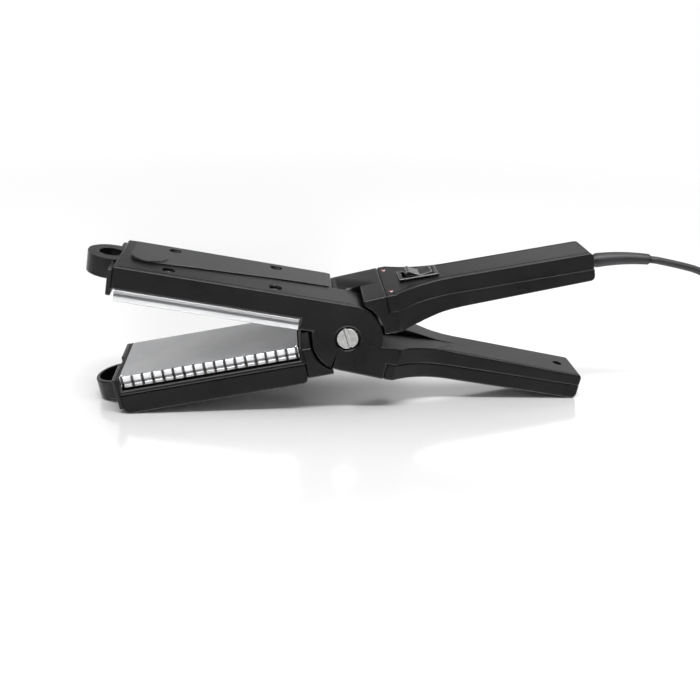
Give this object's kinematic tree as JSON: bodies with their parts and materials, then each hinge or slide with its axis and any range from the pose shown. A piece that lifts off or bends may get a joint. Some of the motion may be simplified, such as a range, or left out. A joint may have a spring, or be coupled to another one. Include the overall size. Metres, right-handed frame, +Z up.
{
  "type": "hair straightener",
  "caption": "Scissor-type hair straightener with two hinged jaws carrying heated plates, a comb edge, rocker switch, eyed cool tips and a mains cord",
  "frame": {"origin": "middle of the footprint of the standing object without its free cord, on the surface it stands on", "axes": "+X along the object from the jaws to the handles, +Y from the side of the comb teeth to the far side, +Z up"},
  "size_m": [0.5462, 0.0617, 0.0832],
  "materials": {
    "black_moulding": "satin black moulded plastic with a fine grain",
    "inlay_satin": "satin dark grey plastic trim",
    "tip_plastic": "smooth black plastic",
    "plate_aluminium": "satin bead-blasted aluminium extrusion",
    "carrier_resin": "heat-resistant dark resin",
    "ceramic": "off-white ceramic",
    "spring_steel": "plain spring steel",
    "screw_steel": "blackened steel",
    "lead_sleeve": "braided heat-proof sleeve",
    "bush_brass": "plain turned brass",
    "pivot_steel": "nickel-plated steel",
    "switch_gloss": "gloss black switch plastic",
    "board_green": "green circuit board laminate",
    "lamp_red": "translucent red lens",
    "cord_black": "soft black vinyl",
    "pin_metal": "nickel-plated brass"
  },
  "bodies": {
    "rear_arm": {"rear_arm": "black_moulding", "lower_jaw_cover": "black_moulding", "upper_handle_cover": "black_moulding", "lower_tip_cap": "tip_plastic", "lower_plate": "plate_aluminium", "lower_plate_carrier": "carrier_resin", "lower_heater": "ceramic", "lower_heater_clip": "spring_steel", "thermostat": "ceramic", "thermal_fuse": "spring_steel", "lower_jaw_screws": "screw_steel", "upper_handle_screw": "screw_steel", "rear_leads": "lead_sleeve", "rear_bush": "bush_brass", "pivot_barrel": "pivot_steel", "pivot_screw": "pivot_steel", "return_spring": "spring_steel", "switch_case": "switch_gloss", "switch_terminals": "bush_brass", "circuit_board": "board_green", "near_lamp_lens": "lamp_red", "far_lamp_lens": "lamp_red", "lamp_leds": "board_green", "mains_cores": "cord_black", "cord_clamp": "tip_plastic", "cord_clamp_screws": "screw_steel", "strain_relief": "cord_black", "cord_run": "cord_black", "cord_coil": "cord_black", "cord_tie": "cord_black", "plug_body": "cord_black", "plug_pins": "pin_metal"},
    "front_arm": {"front_arm": "black_moulding", "lower_handle_cover": "black_moulding", "upper_jaw_inlay": "inlay_satin", "upper_tip_cap": "tip_plastic", "upper_plate": "plate_aluminium", "upper_plate_carrier": "carrier_resin", "upper_heater": "ceramic", "upper_heater_clip": "spring_steel", "upper_jaw_screws": "screw_steel", "lower_handle_screw": "screw_steel", "front_leads": "lead_sleeve", "front_bush": "bush_brass"},
    "rocker": {"switch_rocker": "switch_gloss"}
  },
  "joints": [
    {"name": "jaw_hinge", "type": "hinge", "parent": "rear_arm", "child": "front_arm", "pos_m": [-0.01522, 0, 0.04099], "axis": [0, -1, 0], "range_deg": [0, 20], "stiffness_Nm_per_rad": 0.8, "springref_deg": -34.38, "deforming": ["return_spring"]},
    {"name": "rocker_tilt", "type": "hinge", "parent": "rear_arm", "child": "rocker", "pos_m": [0.02373, 0, 0.06469], "axis": [0, -1, 0], "range_deg": [0, 20]}
  ]
}
